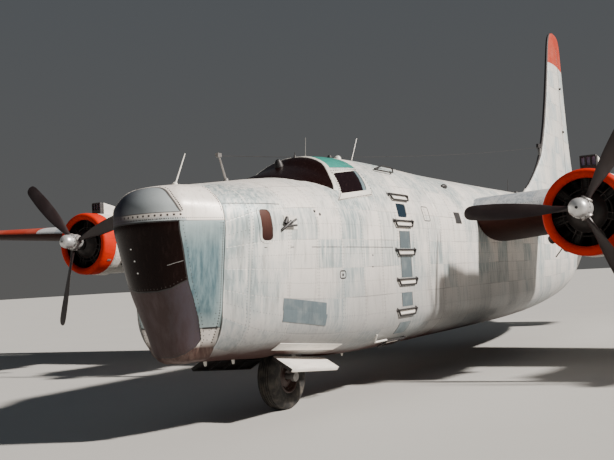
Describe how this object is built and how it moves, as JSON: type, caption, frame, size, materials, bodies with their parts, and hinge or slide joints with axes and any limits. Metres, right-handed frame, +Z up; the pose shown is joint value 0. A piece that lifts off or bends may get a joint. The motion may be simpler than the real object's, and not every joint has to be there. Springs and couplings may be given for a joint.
{
  "type": "four-engined firefighting tanker aeroplane",
  "caption": "High-sided metal propeller aeroplane on nose-wheel gear, with a tall single fin, four engines under a straight wing and drop doors along its belly.",
  "frame": {"origin": "on the ground, on the centre plane, midway between the nose tip and the end of the tail cone", "axes": "+X to the aircraft's left, -Y to the nose, +Y to the tail, +Z up"},
  "size_m": [33.53, 22.733, 9.17],
  "materials": {
    "bare_aluminium": "satin",
    "dark_glazing": "gloss",
    "green_glazing": "satin",
    "white_paint": "satin",
    "orange_paint": "satin",
    "propeller_paint": "matte",
    "engine_iron": "matte",
    "gear_steel": "satin",
    "tyre_rubber": "matte",
    "cabin_paint": "matte",
    "seat_cover": "matte"
  },
  "bodies": {
    "airframe": {"nose_lower_panel": "bare_aluminium", "nose_shell": "bare_aluminium", "fuselage_cockpit_section": "bare_aluminium", "fuselage_tank_section": "bare_aluminium", "fuselage_rear_section": "bare_aluminium", "tail_cone": "bare_aluminium", "wing_left": "bare_aluminium", "flap_left": "bare_aluminium", "wing_right": "bare_aluminium", "flap_right": "bare_aluminium", "fin": "bare_aluminium", "tailplane_left": "bare_aluminium", "tailplane_right": "bare_aluminium", "nose_window": "dark_glazing", "windscreen": "dark_glazing", "side_window_left": "dark_glazing", "side_window_right": "dark_glazing", "nose_side_window_left": "dark_glazing", "cockpit_roof_panel": "green_glazing", "nacelle_1": "white_paint", "nacelle_2": "white_paint", "nacelle_3": "white_paint", "nacelle_4": "white_paint", "cowl_ring_1": "orange_paint", "cowl_ring_2": "orange_paint", "cowl_ring_3": "orange_paint", "cowl_ring_4": "orange_paint", "engine_1": "engine_iron", "engine_2": "engine_iron", "engine_3": "engine_iron", "engine_4": "engine_iron", "main_leg_left": "gear_steel", "main_leg_right": "gear_steel", "nose_leg": "gear_steel", "cockpit_floor": "cabin_paint", "cockpit_bulkhead": "cabin_paint", "instrument_panel": "cabin_paint", "cockpit_seat_left": "seat_cover", "cockpit_seat_right": "seat_cover"},
    "propeller_outer_left": {"propeller_1": "propeller_paint"},
    "propeller_inner_left": {"propeller_2": "propeller_paint"},
    "propeller_inner_right": {"propeller_3": "propeller_paint"},
    "propeller_outer_right": {"propeller_4": "propeller_paint"},
    "main_wheel_left": {"main_wheel_left": "tyre_rubber"},
    "main_wheel_right": {"main_wheel_right": "tyre_rubber"},
    "nose_fork": {"nose_fork": "gear_steel"},
    "nose_wheel": {"nose_wheel": "tyre_rubber"},
    "nose_gear_door_left": {"nose_gear_door_left": "white_paint"},
    "nose_gear_door_right": {"nose_gear_door_right": "white_paint"},
    "drop_door_front_left": {"drop_door_front_left": "bare_aluminium"},
    "drop_door_front_right": {"drop_door_front_right": "bare_aluminium"},
    "drop_door_rear_left": {"drop_door_rear_left": "bare_aluminium"},
    "drop_door_rear_right": {"drop_door_rear_right": "bare_aluminium"},
    "rudder": {"rudder": "bare_aluminium"},
    "elevator_left": {"elevator_left": "bare_aluminium"},
    "elevator_right": {"elevator_right": "bare_aluminium"},
    "aileron_left": {"aileron_left": "bare_aluminium"},
    "aileron_right": {"aileron_right": "bare_aluminium"}
  },
  "joints": [
    {"name": "propeller_outer_left_spin", "type": "hinge", "parent": "airframe", "child": "propeller_outer_left", "pos_m": [7.64, -4.7786, 2.9029], "axis": [0, 1, 0], "continuous": true},
    {"name": "propeller_inner_left_spin", "type": "hinge", "parent": "airframe", "child": "propeller_inner_left", "pos_m": [3.514, -5.0165, 2.665], "axis": [0, 1, 0], "continuous": true},
    {"name": "propeller_inner_right_spin", "type": "hinge", "parent": "airframe", "child": "propeller_inner_right", "pos_m": [-3.514, -5.0165, 2.665], "axis": [0, 1, 0], "continuous": true},
    {"name": "propeller_outer_right_spin", "type": "hinge", "parent": "airframe", "child": "propeller_outer_right", "pos_m": [-7.64, -4.7786, 2.9029], "axis": [0, 1, 0], "continuous": true},
    {"name": "main_wheel_left_spin", "type": "hinge", "parent": "airframe", "child": "main_wheel_left", "pos_m": [3.905, -1.0665, 0.711], "axis": [1, 0, 0], "continuous": true},
    {"name": "main_wheel_right_spin", "type": "hinge", "parent": "airframe", "child": "main_wheel_right", "pos_m": [-3.905, -1.0665, 0.711], "axis": [1, 0, 0], "continuous": true},
    {"name": "nose_steering", "type": "hinge", "parent": "airframe", "child": "nose_fork", "pos_m": [0, -8.4515, 1], "axis": [0, 0, 1], "range_deg": [-45, 45]},
    {"name": "nose_wheel_spin", "type": "hinge", "parent": "nose_fork", "child": "nose_wheel", "pos_m": [0, -8.4515, 0.457], "axis": [1, 0, 0], "continuous": true},
    {"name": "nose_gear_door_left_hinge", "type": "hinge", "parent": "airframe", "child": "nose_gear_door_left", "pos_m": [0.522, -8.8015, 0.77], "axis": [0, 0.9928, -0.1194], "range_deg": [0, 60]},
    {"name": "nose_gear_door_right_hinge", "type": "hinge", "parent": "airframe", "child": "nose_gear_door_right", "pos_m": [-0.522, -8.8015, 0.77], "axis": [0, -0.9928, 0.1194], "range_deg": [0, 60]},
    {"name": "drop_door_front_left_hinge", "type": "hinge", "parent": "airframe", "child": "drop_door_front_left", "pos_m": [0.47, -1.7665, 0.6735], "axis": [0, -1, -0.0039], "range_deg": [0, 85]},
    {"name": "drop_door_front_right_hinge", "type": "hinge", "parent": "airframe", "child": "drop_door_front_right", "pos_m": [-0.47, -1.7665, 0.6735], "axis": [0, 1, 0.0039], "range_deg": [0, 85]},
    {"name": "drop_door_rear_left_hinge", "type": "hinge", "parent": "airframe", "child": "drop_door_rear_left", "pos_m": [0.47, 0.1335, 0.6905], "axis": [0, -0.9998, -0.0205], "range_deg": [0, 85]},
    {"name": "drop_door_rear_right_hinge", "type": "hinge", "parent": "airframe", "child": "drop_door_rear_right", "pos_m": [-0.47, 0.1335, 0.6905], "axis": [0, 0.9998, 0.0205], "range_deg": [0, 85]},
    {"name": "rudder_hinge", "type": "hinge", "parent": "airframe", "child": "rudder", "pos_m": [0, 8.9835, 6], "axis": [0, 0, 1], "range_deg": [-25, 25]},
    {"name": "elevator_left_hinge", "type": "hinge", "parent": "airframe", "child": "elevator_left", "pos_m": [2.3, 8.8835, 3.3], "axis": [1, 0, 0], "range_deg": [-20, 25]},
    {"name": "elevator_right_hinge", "type": "hinge", "parent": "airframe", "child": "elevator_right", "pos_m": [-2.3, 8.8835, 3.3], "axis": [1, 0, 0], "range_deg": [-20, 25]},
    {"name": "aileron_left_hinge", "type": "hinge", "parent": "airframe", "child": "aileron_left", "pos_m": [8.9475, -0.2089, 3.174], "axis": [0.9954, -0.0733, 0.0618], "range_deg": [-20, 20]},
    {"name": "aileron_right_hinge", "type": "hinge", "parent": "airframe", "child": "aileron_right", "pos_m": [-8.9475, -0.2089, 3.174], "axis": [-0.9954, -0.0733, 0.0618], "range_deg": [-20, 20]}
  ],
  "couplings": [
    {"joint": "elevator_right_hinge", "follows": "elevator_left_hinge", "ratio": 1},
    {"joint": "aileron_right_hinge", "follows": "aileron_left_hinge", "ratio": 1}
  ]
}
